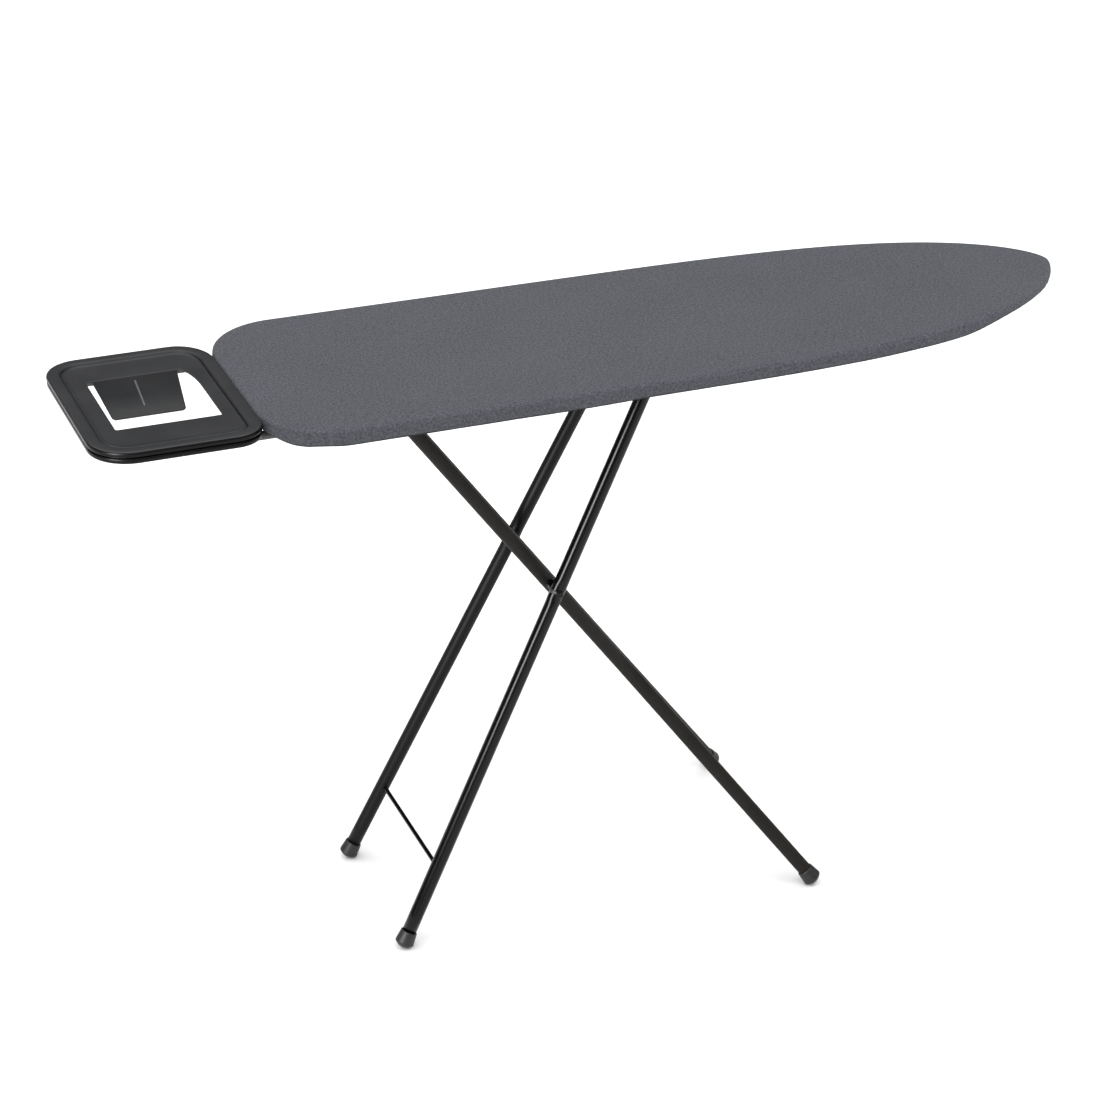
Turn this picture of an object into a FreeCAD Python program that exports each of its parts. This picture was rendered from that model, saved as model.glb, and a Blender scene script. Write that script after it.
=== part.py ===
"""Folding ironing board with an iron rest, as a parametric FreeCAD document.

Origin: on the floor, below the middle of the bounding box.  +X runs from the iron rest to the
board's nose, +Y away from the front edge, +Z up.  Lengths are millimetres, angles are degrees.
"""
import FreeCAD, Part
import math
import os

from FreeCAD import Placement, Rotation, Vector

DRIVING = {
    # board
    "board_length": 1195.1, "board_width": 391, "board_height": 833, "board_left_x": -486.3,
    "end_corner_radius": 100, "nose_run": 749, "nose_power": 3.85, "nose_root": 1.5,
    "nose_lean": 24, "nose_lean_power": 5,
    "cloth": 1.4, "skirt": 21, "pad_thickness": 4, "soft_gap": 0.3, "edge_inset": 3,
    "deck_thickness": 1, "rim_depth": 4.5, "rim_lip": 9, "vent_diameter": 14, "vent_pitch": 58,
    "rib_width": 26, "rib_depth": 15.5, "rib_wall": 1.2, "rib_end_gap": 4,
    "left_rib_inset": 80, "middle_rib_offset": 50, "nose_rib_reach": 965,
    # leg frames
    "hinge_x": -302, "hinge_drop": 30, "crossing_x": -73.7, "crossing_z": 495.1,
    "outer_slope": 63.48, "outer_half_width": 89.9, "outer_splay": 0.07,
    "inner_half_width": 53.5, "inner_foot_half_width": 179, "inner_straight": 190,
    "inner_bend_radius": 140, "tube_diameter": 20, "tube_wall": 1.1,
    "wire_diameter": 6, "outer_wire_run": 425, "inner_wire_run": 430,
    "foot_dome_radius": 16, "foot_width": 27, "foot_sleeve": 9,
    "rivet_diameter": 6, "rivet_head": 1.8, "running_gap": 0.05, "part_gap": 0.35,
    # hinge and height rails
    "pin_diameter": 8, "hinge_tube_diameter": 16, "bracket_wall": 2, "bracket_width": 24,
    "bar_diameter": 12, "bar_wall": 1.2, "bar_overhang": 8, "cap_rim": 1.5, "cap_head": 3,
    "cap_plug": 9, "rail_half_spacing": 104, "rail_wall": 1.6, "rail_flange": 12,
    "rail_drop": 35, "rail_margin": 25, "slot_gap": 1.5, "notch_rise": 2.2, "notch_step": 4,
    "notch_count": 5, "fold_angle": 51, "fold_ratio": 2.18,
    # iron rest
    "rest_length": 220, "rest_width": 316, "rest_corner_radius": 46, "rest_drop": 3,
    "rest_gap_x": 2.5, "rest_top_thickness": 7.5, "rest_groove": 2, "rest_base_thickness": 7.5,
    "rest_edge_radius": 2.2, "rest_base_inset": 0.6, "rest_neck_inset": 3.5,
    "rest_ring_width": 15, "rest_lug_width": 14, "rest_screw_half_spacing": 62,
    "rest_screw_depth": 13, "rest_panel_inset": 21, "rest_panel_radius": 26,
    "rest_panel_sink": 3,
    "opening_length": 131, "opening_width": 167, "opening_offset_x": -0.5,
    "opening_radius": 3, "opening_big_radius": 12,
    "heel_width": 114, "heel_tip_width": 97, "heel_length": 78, "heel_slope": 18,
    "heel_thickness": 2.5, "heel_rib_width": 2.2, "heel_rib_height": 1.4,
    "heel_rib_root_gap": 6, "heel_rib_tip_gap": 18, "arm_diameter": 12, "arm_wall": 1.2,
    "arm_half_spacing": 124, "arm_shift": 12, "arm_inset": 34, "arm_reach": 120, "arm_screw_grip": 4,
    "screw_diameter": 5, "screw_head_diameter": 9, "screw_head": 2.4,
}

doc = FreeCAD.newDocument("ironing_board")
sheet = doc.addObject("Spreadsheet::Sheet", "dims")
sub_parts = []


def fill_sheet():
    """Write every driving dimension into the spreadsheet, one aliased cell to a row."""
    for row, (name, value) in enumerate(DRIVING.items(), start=1):
        sheet.set("A%d" % row, name)
        sheet.set("B%d" % row, str(value))
        sheet.setAlias("B%d" % row, name)
    doc.recompute()


def dim(name):
    """Read a driving dimension back from the spreadsheet."""
    return float(sheet.get(name))


def keep(obj, label):
    """Name a finished sub-part and put it on the list that is written out."""
    obj.Label = label
    sub_parts.append(obj)
    return obj


def feature(name, shape, placement=None):
    """Add a shape made with Part's own functions."""
    obj = doc.addObject("Part::Feature", name)
    obj.Shape = shape
    if placement is not None:
        obj.Placement = placement
    return obj


def bind(obj, **expressions):
    """Bind properties of an object to expressions over the spreadsheet."""
    for prop, expression in expressions.items():
        obj.setExpression(prop, expression)
    return obj


def cylinder(name, base, axis, radius, height):
    """A cylinder from base along axis; radius and height are spreadsheet expressions."""
    obj = bind(doc.addObject("Part::Cylinder", name), Radius=radius, Height=height)
    obj.Placement = Placement(base, Rotation(Vector(0, 0, 1), axis))
    return obj


def box(name, corner, length, width, height):
    """A box from its low corner; the three sizes are spreadsheet expressions."""
    obj = bind(doc.addObject("Part::Box", name), Length=length, Width=width, Height=height)
    obj.Placement = Placement(corner, Rotation())
    return obj


def cut(name, base, tool):
    """Base minus tool, as a document object."""
    obj = doc.addObject("Part::Cut", name)
    obj.Base = base
    obj.Tool = tool
    return obj


def fuse(name, shapes):
    """Several objects joined into one."""
    obj = doc.addObject("Part::MultiFuse", name)
    obj.Shapes = shapes
    return obj


def extrude(name, wire, low_z, height):
    """A closed flat wire raised to a solid; height is a spreadsheet expression."""
    profile = feature(name + "_profile", wire)
    profile.Placement = Placement(Vector(0, 0, low_z), Rotation())
    obj = doc.addObject("Part::Extrusion", name)
    obj.Base = profile
    obj.DirMode = "Custom"
    obj.Dir = Vector(0, 0, 1)
    obj.Solid = True
    return bind(obj, LengthFwd=height)


def origin_plane(body, role):
    """One of a body's own origin planes."""
    return next(item for item in body.Origin.OriginFeatures if item.Role == role)


def sketch_on(body, name, role):
    """A sketch on one of a body's origin planes."""
    sketch = body.newObject("Sketcher::SketchObject", name)
    sketch.AttachmentSupport = [(origin_plane(body, role), "")]
    sketch.MapMode = "FlatFace"
    return sketch


def closed_polygon(sketch, points):
    """Draw a closed run of straight lines in a sketch."""
    for index, start in enumerate(points):
        end = points[(index + 1) % len(points)]
        sketch.addGeometry(Part.LineSegment(Vector(*start, 0), Vector(*end, 0)), False)


# ---------------------------------------------------------------- shared positions

def deck_underside():
    """Height of the deck sheet's lower face, where ribs, rails and brackets are welded."""
    stack = dim("cloth") + dim("pad_thickness") + dim("deck_thickness") + 2 * dim("soft_gap")
    return dim("board_height") - stack


def hinge_point():
    """Axis point of the inner frame's top hinge, on the centre plane."""
    return Vector(dim("hinge_x"), 0, dim("board_height") - dim("hinge_drop"))


def crossing_point():
    """Axis point of the crossing of the two frames, on the centre plane."""
    return Vector(dim("crossing_x"), 0, dim("crossing_z"))


def outer_up():
    """Unit vector up the outer frame, in the centre plane."""
    slope = math.radians(dim("outer_slope"))
    return Vector(math.cos(slope), 0, math.sin(slope))


def inner_down():
    """Unit vector down the inner frame, from its hinge through the crossing."""
    return (crossing_point() - hinge_point()).normalize()


def bar_run():
    """Distance up the outer frame from the crossing to the top bar."""
    return (hinge_point().z - crossing_point().z) / outer_up().z


def outer_axis_point(side, run):
    """Point on an outer tube's axis, run above the crossing; side is -1 in front, +1 behind."""
    point = crossing_point() + outer_up() * run
    point.y = side * (dim("outer_half_width") - dim("outer_splay") * run)
    return point


def outer_direction(side):
    """Unit vector up an outer tube."""
    return (outer_axis_point(side, 1) - outer_axis_point(side, 0)).normalize()


def outer_foot_run():
    """Run, below the crossing, of the centre of an outer foot's round end."""
    return (dim("foot_dome_radius") - crossing_point().z) / outer_up().z


def inner_crossing_run():
    """Distance down the inner frame from its hinge to the crossing."""
    return (crossing_point() - hinge_point()).Length


def inner_foot_run():
    """Distance down the inner frame from its hinge to the centre of a foot's round end."""
    return (hinge_point().z - dim("foot_dome_radius")) / -inner_down().z


def inner_bend_run():
    """Distance down the inner frame to the corner of its bend."""
    return inner_crossing_run() + dim("inner_straight")


def inner_half_width(run):
    """Half the spacing of the inner tubes at a distance down the frame."""
    straight = inner_bend_run()
    if run <= straight:
        return dim("inner_half_width")
    share = (run - straight) / (inner_foot_run() - straight)
    return dim("inner_half_width") + share * (dim("inner_foot_half_width") - dim("inner_half_width"))


def inner_axis_point(side, run):
    """Corner point of an inner tube's axis at a distance down the frame."""
    point = hinge_point() + inner_down() * run
    point.y = side * inner_half_width(run)
    return point


# ---------------------------------------------------------------- board

def board_outline(inset):
    """Closed plan outline of the board: square end with round corners, tapered round nose.

    The nose leans a little to the rear, because its front side is cut back further.
    """
    half = dim("board_width") / 2 - inset
    left = dim("board_left_x") + inset
    tip = dim("board_left_x") + dim("board_length") - inset
    root = tip - dim("nose_run")
    radius = dim("end_corner_radius") - inset
    turn = radius * math.sqrt(0.5)
    stations = 11
    sides = {-1: [], 1: []}
    for index in range(stations):
        share = math.sin(math.pi / 2 * index / stations)
        width = half * (1 - share ** dim("nose_power")) ** (1 / dim("nose_root"))
        lean = dim("nose_lean") * share ** dim("nose_lean_power")
        for side, points in sides.items():
            points.append(Vector(root + share * dim("nose_run"), lean + side * width, 0))
    nose = Part.BSplineCurve()
    nose.interpolate(sides[-1] + [Vector(tip, dim("nose_lean"), 0)] + sides[1][::-1],
                     InitialTangent=Vector(1, 0, 0), FinalTangent=Vector(-1, 0, 0))
    corners = []
    for side in (1, -1):
        hub = Vector(left + radius, side * (half - radius), 0)
        corners.append(Part.Arc(hub + Vector(0, side * radius, 0), hub + Vector(-turn, side * turn, 0),
                                hub + Vector(-radius, 0, 0)).toShape())
    edges = [
        nose.toShape(),
        Part.makeLine(Vector(root, half, 0), Vector(left + radius, half, 0)),
        corners[0],
        Part.makeLine(Vector(left, half - radius, 0), Vector(left, radius - half, 0)),
        corners[1],
        Part.makeLine(Vector(left + radius, -half, 0), Vector(root, -half, 0)),
    ]
    return Part.Wire(edges)


def fabric_cover():
    """Thin cover: a flat top with a skirt that hangs round the whole edge."""
    skirt_z = dim("board_height") - dim("skirt")
    outside = extrude("cover_outside", board_outline(0), skirt_z, "dims.skirt")
    inside = extrude("cover_inside", board_outline(dim("cloth")), skirt_z - 1,
                     "dims.skirt - dims.cloth + 1")
    return keep(cut("cover_cut", outside, inside), "fabric_cover")


def foam_pad():
    """Felt pad that lies on the deck under the cover."""
    low = deck_underside() + dim("deck_thickness") + dim("soft_gap")
    pad = extrude("pad_solid", board_outline(dim("edge_inset")), low, "dims.pad_thickness")
    return keep(pad, "foam_pad")


def vent_holes():
    """Staggered round steam vents, kept clear of the deck's edge."""
    pitch = dim("vent_pitch")
    radius = dim("vent_diameter") / 2
    inside = Part.Face(board_outline(dim("edge_inset") + dim("rim_lip") + radius + 6))
    low = deck_underside() - 1
    holes = []
    rows = int(dim("board_width") / pitch)
    columns = int(dim("board_length") / pitch) + 1
    for row in range(-rows // 2, rows // 2 + 1):
        for column in range(columns):
            x = dim("board_left_x") + (column + 0.5 * (row % 2)) * pitch
            centre = Vector(x, row * pitch * 0.9, 0)
            if inside.isInside(centre, 0.01, True):
                centre.z = low
                holes.append(Part.makeCylinder(radius, dim("deck_thickness") + 2, centre))
    return feature("vents", Part.makeCompound(holes))


def deck_pan():
    """Steel deck: a vented sheet with a turned-down rim and a stiffening lip."""
    inset = dim("edge_inset")
    under = deck_underside()
    wall = dim("deck_thickness")
    sheet_top = extrude("deck_sheet", board_outline(inset), under, "dims.deck_thickness")
    rim_outside = extrude("rim_outside", board_outline(inset), under - dim("rim_depth"),
                          "dims.rim_depth")
    rim_inside = extrude("rim_inside", board_outline(inset + wall), under - dim("rim_depth") + wall,
                         "dims.rim_depth")
    lip_inside = extrude("lip_inside", board_outline(inset + dim("rim_lip")),
                         under - dim("rim_depth") - 1, "dims.rim_depth + 1")
    rim = cut("rim_wall", cut("rim_shell", rim_outside, rim_inside), lip_inside)
    vented = cut("deck_vented", sheet_top, vent_holes())
    return keep(fuse("deck_fused", [vented, rim]), "deck_pan")


def cross_rib(label, x, holes):
    """Pressed channel welded across the deck's underside, open at the top."""
    half = rib_half_length(x)
    top = deck_underside()
    depth = dim("rib_depth")
    width = dim("rib_width")
    wall = dim("rib_wall")
    outside = box(label + "_outside", Vector(x - width / 2, -half, top - depth),
                  "dims.rib_width", "%g mm" % (2 * half), "dims.rib_depth")
    inside = box(label + "_inside", Vector(x - width / 2 + wall, -half - 1, top - depth + wall),
                 "dims.rib_width - 2 * dims.rib_wall", "%g mm" % (2 * half + 2), "dims.rib_depth")
    rib = cut(label + "_channel", outside, inside)
    for number, tool in enumerate(holes):
        rib = cut("%s_hole_%d" % (label, number), rib, tool)
    return keep(rib, label)


def rib_half_length(x):
    """Half length that keeps a rib's ends inside the rim's lip, measured on the outline."""
    inner = Part.Face(board_outline(dim("edge_inset") + dim("rim_lip")))
    reaches = []
    for edge_x in (x - dim("rib_width") / 2, x + dim("rib_width") / 2):
        line = Part.makeLine(Vector(edge_x, -dim("board_width"), 0),
                             Vector(edge_x, dim("board_width"), 0))
        inside = inner.common(line).BoundBox
        reaches += [inside.YMax, -inside.YMin]
    return min(reaches) - dim("rib_end_gap")


# ---------------------------------------------------------------- top hinge and height rails

def hinge_bracket(label, side):
    """Plate ear welded under the deck that carries one end of the hinge pin."""
    body = doc.addObject("PartDesign::Body", label + "_body")
    profile = sketch_on(body, label + "_profile", "XZ_Plane")
    half = dim("bracket_width") / 2
    rise = deck_underside() - hinge_point().z
    profile.addGeometry(Part.LineSegment(Vector(-half, 0, 0), Vector(-half, rise, 0)), False)
    profile.addGeometry(Part.LineSegment(Vector(-half, rise, 0), Vector(half, rise, 0)), False)
    profile.addGeometry(Part.LineSegment(Vector(half, rise, 0), Vector(half, 0, 0)), False)
    arc = Part.Arc(Vector(half, 0, 0), Vector(0, -half, 0), Vector(-half, 0, 0))
    profile.addGeometry(arc, False)
    pin_hole = Part.Circle(Vector(0, 0, 0), Vector(0, 0, 1), dim("pin_diameter") / 2)
    profile.addGeometry(pin_hole, False)
    pad = body.newObject("PartDesign::Pad", label + "_pad")
    pad.Profile = profile
    pad.Midplane = True
    pad.setExpression("Length", "dims.bracket_wall")
    place = hinge_point()
    place.y = side * (hinge_tube_half() + dim("part_gap") + dim("bracket_wall") / 2)
    body.Placement = Placement(place, Rotation())
    return keep(body, label)


def hinge_tube_half():
    """Half length of the inner frame's hinge tube: just past the outside of its legs."""
    return dim("inner_half_width") + dim("tube_diameter") / 2 + 2


def hinge_pin():
    """Pin through the brackets and the hinge tube, with a flat head at each end."""
    head = 2
    half = hinge_tube_half() + dim("part_gap") + dim("bracket_wall")
    centre = hinge_point()
    shaft = cylinder("pin_shaft", centre + Vector(0, -half, 0), Vector(0, 1, 0),
                     "dims.pin_diameter / 2", "%g mm" % (2 * half))
    heads = []
    for name, side in (("front", -1), ("rear", 1)):
        heads.append(cylinder("pin_head_" + name, centre + Vector(0, side * half, 0),
                              Vector(0, side, 0), "dims.pin_diameter / 2 + 2.5", "%g mm" % head))
    return keep(fuse("pin_fused", [shaft] + heads), "top_hinge_pin")


def bar_position(fold):
    """Centre of the top bar, in the board's frame, when the inner frame has folded by an angle."""
    down = inner_down()
    inner_slope = math.atan2(-down.z, down.x) - math.radians(fold)
    crossing = hinge_point() + Vector(math.cos(inner_slope), 0, -math.sin(inner_slope)) \
        * inner_crossing_run()
    outer_slope = math.radians(dim("outer_slope") - (dim("fold_ratio") - 1) * fold)
    return crossing + Vector(math.cos(outer_slope), 0, math.sin(outer_slope)) * bar_run()


def rail_slot(side):
    """Slot that follows the top bar from its working place to the folded one, with notches."""
    reach = dim("bar_diameter") / 2 + dim("slot_gap")
    steps = 8
    upper = []
    lower = []
    ends = []
    for step in range(steps + 1):
        fold = dim("fold_angle") * step / steps
        centre = bar_position(fold)
        run = (bar_position(fold + 0.2) - bar_position(fold - 0.2)).normalize()
        rise = run.cross(Vector(0, 1, 0))
        upper.append(centre + rise * reach)
        lower.append(centre - rise * reach)
        ends.append((centre - run * reach, centre + run * reach))
    top_edge = Part.BSplineCurve()
    top_edge.interpolate(upper)
    low_edge = Part.BSplineCurve()
    low_edge.interpolate(lower)
    edges = [
        top_edge.toShape(),
        Part.Arc(upper[-1], ends[-1][1], lower[-1]).toShape(),
        low_edge.toShape(),
        Part.Arc(lower[0], ends[0][0], upper[0]).toShape(),
    ]
    depth = dim("rail_wall") + 2
    slot = Part.Face(Part.Wire(Part.__sortEdges__(edges))).extrude(Vector(0, depth, 0))
    slot.translate(Vector(0, -1, 0))
    for notch in range(int(dim("notch_count"))):
        seat = bar_position(dim("notch_step") * notch) + Vector(0, -1, dim("notch_rise"))
        slot = slot.fuse(Part.makeCylinder(reach, depth, seat, Vector(0, 1, 0)))
    return feature("slot_tool_" + ("front" if side < 0 else "rear"), slot)


def height_rail(label, side):
    """Angle rail under the deck with the arched, notched slot that the top bar slides in."""
    start = bar_position(0).x - dim("rail_margin")
    end = bar_position(dim("fold_angle")).x + dim("rail_margin")
    under = deck_underside()
    low_y = dim("rail_half_spacing") if side > 0 else -dim("rail_half_spacing") - dim("rail_wall")
    web = box(label + "_web", Vector(start, low_y, under - dim("rail_drop")),
              "%g mm" % (end - start), "dims.rail_wall", "dims.rail_drop")
    flange_y = low_y if side > 0 else low_y + dim("rail_wall") - dim("rail_flange")
    flange = box(label + "_flange", Vector(start, flange_y, under - dim("rail_wall")),
                 "%g mm" % (end - start), "dims.rail_flange", "dims.rail_wall")
    slot = rail_slot(side)
    slot.Placement = Placement(Vector(0, low_y, 0), Rotation())
    rail = fuse(label + "_angle", [cut(label + "_slotted", web, slot), flange])
    return keep(rail, label)


# ---------------------------------------------------------------- leg frames

def rivet_hole(name, side, gap):
    """Drill through both legs of one side at the crossing; gap is the radial clearance."""
    start = crossing_point() + Vector(0, side * 30, 0)
    return cylinder(name, start, Vector(0, side, 0), "dims.rivet_diameter / 2 + %g" % gap,
                    "90 mm")


def outer_tube(label, side, bar_tool):
    """Straight outer leg, open at both ends, notched over the top bar and drilled."""
    run = bar_run() - outer_foot_run()
    length = run * math.hypot(1, dim("outer_splay"))
    base = outer_axis_point(side, outer_foot_run())
    axis = outer_direction(side)
    outside = cylinder(label + "_outside", base, axis, "dims.tube_diameter / 2",
                       "%g mm" % length)
    inside = cylinder(label + "_inside", base - axis, axis,
                      "dims.tube_diameter / 2 - dims.tube_wall", "%g mm" % (length + 2))
    tube = cut(label + "_tube", outside, inside)
    notched = cut(label + "_notched", tube, bar_tool)
    hole = rivet_hole(label + "_hole", side, dim("running_gap"))
    return keep(cut(label + "_drilled", notched, hole), label)


def inner_path(side):
    """Axis of an inner leg: straight from the hinge, one bend, straight and splayed to the foot."""
    top = inner_axis_point(side, 0)
    corner = inner_axis_point(side, inner_bend_run())
    foot = inner_axis_point(side, inner_foot_run())
    into = (corner - top).normalize()
    out = (foot - corner).normalize()
    turn = into.getAngle(out)
    tangent = dim("inner_bend_radius") * math.tan(turn / 2)
    inward = (out - into).normalize()
    start = corner - into * tangent
    end = corner + out * tangent
    sagitta = dim("inner_bend_radius") * (1 / math.cos(turn / 2) - 1)
    middle = corner + inward * sagitta
    return Part.Wire([Part.makeLine(top, start), Part.Arc(start, middle, end).toShape(),
                      Part.makeLine(end, foot)])


def swept(path, radius):
    """A round rod along a path."""
    start = path.Edges[0].Vertexes[0].Point
    section = Part.Wire(Part.makeCircle(radius, start, inner_down()))
    return path.makePipeShell([section], True, False)


def inner_tube(label, side, hinge_tool):
    """Inner leg, fitted against the hinge tube and drilled for the crossing rivet."""
    path = inner_path(side)
    radius = dim("tube_diameter") / 2
    outside = feature(label + "_outside", swept(path, radius))
    inside = feature(label + "_inside", swept(path, radius - dim("tube_wall")))
    tube = cut(label + "_tube", outside, inside)
    fitted = cut(label + "_fitted", tube, hinge_tool)
    return keep(cut(label + "_drilled", fitted, rivet_hole(label + "_hole", side, 0)), label)


def hinge_tube():
    """Cross tube at the top of the inner frame, which turns on the hinge pin."""
    half = hinge_tube_half()
    base = hinge_point() + Vector(0, -half, 0)
    length = "%g mm" % (2 * half)
    outside = cylinder("hinge_tube_outside", base, Vector(0, 1, 0),
                       "dims.hinge_tube_diameter / 2", length)
    inside = cylinder("hinge_tube_bore", base, Vector(0, 1, 0),
                      "dims.pin_diameter / 2 + dims.running_gap", length)
    return outside, keep(cut("hinge_tube_cut", outside, inside), "inner_hinge_tube")


def top_bar():
    """Tube across the top of the outer frame whose ends slide in the height rails."""
    half = dim("rail_half_spacing") + dim("rail_wall") + dim("bar_overhang")
    base = bar_position(0) + Vector(0, -half, 0)
    length = "%g mm" % (2 * half)
    outside = cylinder("bar_outside", base, Vector(0, 1, 0), "dims.bar_diameter / 2", length)
    inside = cylinder("bar_inside", base, Vector(0, 1, 0),
                      "dims.bar_diameter / 2 - dims.bar_wall", length)
    return outside, keep(cut("bar_cut", outside, inside), "outer_top_bar")


def bar_end_caps():
    """Round plastic caps on the ends of the top bar."""
    half = dim("rail_half_spacing") + dim("rail_wall") + dim("bar_overhang")
    caps = []
    for name, side in (("front", -1), ("rear", 1)):
        end = bar_position(0) + Vector(0, side * half, 0)
        head = cylinder("cap_head_" + name, end, Vector(0, side, 0),
                        "dims.bar_diameter / 2 + dims.cap_rim", "dims.cap_head")
        plug = cylinder("cap_plug_" + name, end, Vector(0, -side, 0),
                        "dims.bar_diameter / 2 - dims.bar_wall", "dims.cap_plug")
        caps.append(fuse("bar_cap_" + name, [head, plug]))
    pair = doc.addObject("Part::Compound", "bar_caps")
    pair.Links = caps
    return keep(pair, "bar_end_caps")


def cross_wire(label, front, rear, tubes):
    """Thin rod between two legs, shaped to the tubes at its ends."""
    span = (rear - front).Length
    rod = cylinder(label + "_rod", front, rear - front, "dims.wire_diameter / 2", "%g mm" % span)
    return keep(cut(label + "_fitted", rod, tubes), label)


def outer_tube_tool(name):
    """Both outer legs as plain solid rods, to fit the wire's ends."""
    rods = []
    for side in (-1, 1):
        base = outer_axis_point(side, outer_foot_run())
        rods.append(Part.makeCylinder(dim("tube_diameter") / 2, bar_run() - outer_foot_run(),
                                      base, outer_direction(side)))
    return feature(name, Part.makeCompound(rods))


def inner_tube_tool(name):
    """Both inner legs as plain solid rods, to fit the wire's ends."""
    rods = [swept(inner_path(side), dim("tube_diameter") / 2) for side in (-1, 1)]
    return feature(name, Part.makeCompound(rods))


def foot_cap(label, centre, axis):
    """Moulded foot: a shallow dome, a rounded shoulder and a barrel that narrows up the leg."""
    body = doc.addObject("PartDesign::Body", label + "_body")
    profile = sketch_on(body, label + "_profile", "XZ_Plane")
    dome = dim("foot_dome_radius")
    bore = dim("tube_diameter") / 2
    shoulder = dim("foot_width") / 2
    rim = bore + 1.7
    top = dim("foot_sleeve")

    def on_dome(angle):
        return Vector(dome * math.sin(angle), -dome * math.cos(angle), 0)

    dome_end = on_dome(math.radians(47))
    shoulder_top = Vector(shoulder, dome_end.y + 3.4, 0)
    shoulder_mid = Vector(shoulder - 0.45, dome_end.y + 1.3, 0)
    dome_arc = Part.Arc(on_dome(0), on_dome(math.radians(23)), dome_end)
    profile.addGeometry(dome_arc, False)
    profile.addGeometry(Part.Arc(dome_end, shoulder_mid, shoulder_top), False)
    corners = [shoulder_top, Vector(rim, top - 1, 0), Vector(rim - 0.6, top, 0),
               Vector(bore, top, 0), Vector(bore, 0, 0), Vector(0, 0, 0), on_dome(0)]
    for start, end in zip(corners, corners[1:]):
        profile.addGeometry(Part.LineSegment(start, end), False)
    turned = body.newObject("PartDesign::Revolution", label + "_turned")
    turned.Profile = profile
    turned.ReferenceAxis = (profile, ["V_Axis"])
    turned.Angle = 360
    body.Placement = Placement(centre, Rotation(Vector(0, 0, 1), axis))
    return keep(body, label)


def outer_leg_gap():
    """Clearance beside an outer leg, which leans a little across the width of a rivet head."""
    return dim("part_gap") + dim("running_gap") + dim("rivet_diameter") * dim("outer_splay")


def crossing_rivet(label, side):
    """Rivet that joins an inner leg to an outer leg, with a flat head at each end."""
    tube = dim("tube_diameter") / 2
    near = dim("inner_half_width") - tube
    far = dim("outer_half_width") + tube + outer_leg_gap()
    centre = crossing_point()
    near_end = centre + Vector(0, side * near, 0)
    far_end = centre + Vector(0, side * far, 0)
    shaft = cylinder(label + "_shaft", near_end, Vector(0, side, 0), "dims.rivet_diameter / 2",
                     "%g mm" % (far - near))
    inner_head = cylinder(label + "_inner_head", near_end, Vector(0, -side, 0),
                          "dims.rivet_diameter", "dims.rivet_head")
    outer_head = cylinder(label + "_outer_head", far_end, Vector(0, side, 0),
                          "dims.rivet_diameter", "dims.rivet_head")
    return keep(fuse(label + "_fused", [shaft, inner_head, outer_head]), label)


def crossing_spacer(label, side):
    """Bright sleeve on the rivet that holds the two legs apart."""
    tube = dim("tube_diameter") / 2
    near = dim("inner_half_width") + tube
    far = dim("outer_half_width") - tube - outer_leg_gap()
    base = crossing_point() + Vector(0, side * near, 0)
    length = "%g mm" % (far - near)
    outside = cylinder(label + "_outside", base, Vector(0, side, 0), "dims.rivet_diameter", length)
    inside = cylinder(label + "_inside", base, Vector(0, side, 0), "dims.rivet_diameter / 2",
                      length)
    return keep(cut(label + "_sleeve", outside, inside), label)


# ---------------------------------------------------------------- iron rest

def rest_centre():
    """Plan centre of the iron rest."""
    right = dim("board_left_x") - dim("rest_gap_x")
    return Vector(right - dim("rest_length") / 2, 0, 0)


def rounded_rectangle(centre, length, width, radii):
    """Closed wire; radii run from the near left corner round to the far left one."""
    half_x = length / 2
    half_y = width / 2
    signs = [(-1, -1), (1, -1), (1, 1), (-1, 1)]
    edges = []
    ends = []
    for (sign_x, sign_y), radius in zip(signs, radii):
        corner = centre + Vector(sign_x * half_x, sign_y * half_y, 0)
        hub = corner - Vector(sign_x * radius, sign_y * radius, 0)
        on_side = hub + Vector(sign_x * radius, 0, 0)
        on_end = hub + Vector(0, sign_y * radius, 0)
        middle = hub + Vector(sign_x, sign_y, 0) * (radius * math.sqrt(0.5))
        first, last = (on_side, on_end) if sign_x * sign_y > 0 else (on_end, on_side)
        ends.append((first, last))
        edges.append(Part.Arc(first, middle, last).toShape())
    for index, (first, last) in enumerate(ends):
        following = ends[(index + 1) % len(ends)][0]
        edges.append(Part.makeLine(last, following))
    return Part.Wire(Part.__sortEdges__(edges))


def rest_outline(inset):
    """Plan outline of the iron rest, drawn in by an inset."""
    radius = dim("rest_corner_radius") - inset
    return rounded_rectangle(rest_centre(), dim("rest_length") - 2 * inset,
                             dim("rest_width") - 2 * inset, [radius] * 4)


def opening_outline():
    """Outline of the opening: small corners, except the large far right one."""
    small = dim("opening_radius")
    centre = rest_centre() + Vector(dim("opening_offset_x"), 0, 0)
    return rounded_rectangle(centre, dim("opening_length"), dim("opening_width"),
                             [small, small, dim("opening_big_radius"), small])


def rest_top_z():
    """Height of the iron rest's upper rim."""
    return dim("board_height") - dim("rest_drop")


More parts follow.
